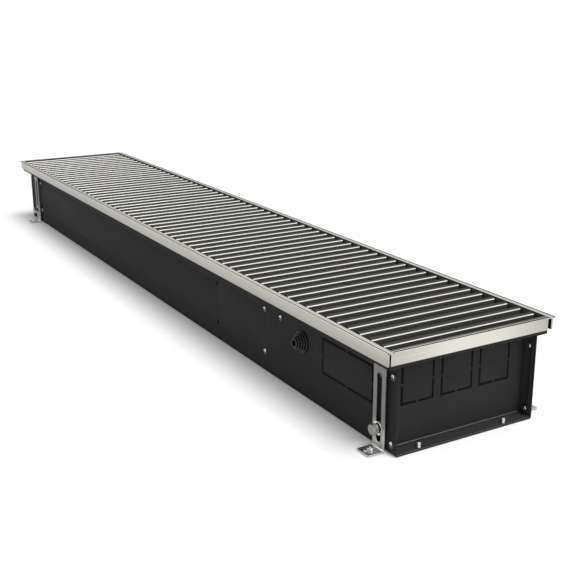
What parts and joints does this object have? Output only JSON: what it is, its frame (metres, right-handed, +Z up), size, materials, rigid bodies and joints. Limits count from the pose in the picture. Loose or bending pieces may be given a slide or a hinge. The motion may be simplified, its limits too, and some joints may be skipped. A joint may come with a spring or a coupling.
{
  "type": "trench convector heater",
  "caption": "Long trench convector heater: folded casing with recessed ends, trim frame, roll-up bar grille, slotted feet, fin block and cross-flow fan.",
  "frame": {"origin": "on the floor, in the middle of the outer box over the trim frame and the feet", "axes": "+X along the heater towards its connection end, +Y across it towards the fan side, +Z up"},
  "size_m": [1.504, 0.272, 0.137],
  "materials": {
    "black_powder_coat": "semi-gloss fine powder coat",
    "trim_aluminium": "fine brushed, anodised",
    "grille_aluminium": "anodised",
    "zinc_steel": "zinc plated, dull",
    "bright_steel": "zinc plated, bright",
    "spring_steel": "dark oiled",
    "fin_aluminium": "mill finish",
    "copper": "drawn tube",
    "brass": "turned",
    "black_rubber": "moulded",
    "black_plastic": "moulded",
    "grey_plastic": "moulded",
    "galvanised_sheet": "galvanised"
  },
  "bodies": {
    "casing": {"trough": "black_powder_coat", "end_panel_near": "black_powder_coat", "end_panel_far": "black_powder_coat", "knock_out_seals": "black_rubber", "trim_side_front": "trim_aluminium", "trim_side_back": "trim_aluminium", "trim_end_near": "trim_aluminium", "trim_end_far": "trim_aluminium", "trim_corner_keys": "zinc_steel", "grille_rest_front": "black_rubber", "grille_rest_back": "black_rubber", "end_guard_near": "black_rubber", "end_guard_far": "black_rubber", "foot_bolts": "bright_steel", "foot_washers": "bright_steel", "foot_spring_washers": "spring_steel", "foot_spacers": "zinc_steel", "foot_backing_plates": "zinc_steel", "foot_nuts": "bright_steel", "blind_rivets": "bright_steel", "partition_plate": "galvanised_sheet", "carrier_plate": "galvanised_sheet", "fin_block": "fin_aluminium", "hairpin_tube_lower": "copper", "hairpin_tube_upper": "copper", "return_bend": "copper", "pipe_connector_supply": "brass", "pipe_connector_return": "brass", "vent_valve": "brass", "fan_housing": "galvanised_sheet", "fan_bearing": "black_rubber", "fan_motor": "black_plastic", "cable_gland": "black_rubber", "cable_saddle": "galvanised_sheet", "terminal_box": "grey_plastic", "terminal_box_lid": "grey_plastic", "terminal_box_screws": "bright_steel"},
    "grille": {"grille_bars": "grille_aluminium", "grille_wires": "bright_steel", "grille_sleeves": "black_plastic"},
    "foot_near_front_body": {"foot_near_front": "zinc_steel", "foot_screw_near_front": "bright_steel"},
    "foot_near_back_body": {"foot_near_back": "zinc_steel", "foot_screw_near_back": "bright_steel"},
    "foot_far_front_body": {"foot_far_front": "zinc_steel", "foot_screw_far_front": "bright_steel"},
    "foot_far_back_body": {"foot_far_back": "zinc_steel", "foot_screw_far_back": "bright_steel"},
    "levelling_near_front_body": {"levelling_screw_near_front": "bright_steel"},
    "levelling_near_back_body": {"levelling_screw_near_back": "bright_steel"},
    "levelling_far_front_body": {"levelling_screw_far_front": "bright_steel"},
    "levelling_far_back_body": {"levelling_screw_far_back": "bright_steel"},
    "impeller": {"fan_impeller": "black_plastic"},
    "vent_screw_body": {"vent_screw": "bright_steel"}
  },
  "joints": [
    {"name": "grille_lift", "type": "slide", "parent": "casing", "child": "grille", "axis": [0, 0, 1], "range_m": [0, 0.08]},
    {"name": "foot_slide_near_front", "type": "slide", "parent": "casing", "child": "foot_near_front_body", "axis": [0, 0, -1], "range_m": [-0.005, 0.06]},
    {"name": "foot_slide_near_back", "type": "slide", "parent": "casing", "child": "foot_near_back_body", "axis": [0, 0, -1], "range_m": [-0.005, 0.06]},
    {"name": "foot_slide_far_front", "type": "slide", "parent": "casing", "child": "foot_far_front_body", "axis": [0, 0, -1], "range_m": [-0.005, 0.06]},
    {"name": "foot_slide_far_back", "type": "slide", "parent": "casing", "child": "foot_far_back_body", "axis": [0, 0, -1], "range_m": [-0.005, 0.06]},
    {"name": "levelling_near_front", "type": "slide", "parent": "casing", "child": "levelling_near_front_body", "axis": [0, 0, -1], "range_m": [0, 0.006]},
    {"name": "levelling_near_back", "type": "slide", "parent": "casing", "child": "levelling_near_back_body", "axis": [0, 0, -1], "range_m": [0, 0.006]},
    {"name": "levelling_far_front", "type": "slide", "parent": "casing", "child": "levelling_far_front_body", "axis": [0, 0, -1], "range_m": [0, 0.006]},
    {"name": "levelling_far_back", "type": "slide", "parent": "casing", "child": "levelling_far_back_body", "axis": [0, 0, -1], "range_m": [0, 0.006]},
    {"name": "impeller_spin", "type": "hinge", "parent": "casing", "child": "impeller", "pos_m": [0, 0.062, 0.048], "axis": [1, 0, 0], "continuous": true},
    {"name": "vent_turn", "type": "hinge", "parent": "casing", "child": "vent_screw_body", "pos_m": [0.4775, -0.07, 0.09], "axis": [0, 0, 1], "range_deg": [0, 360]}
  ]
}
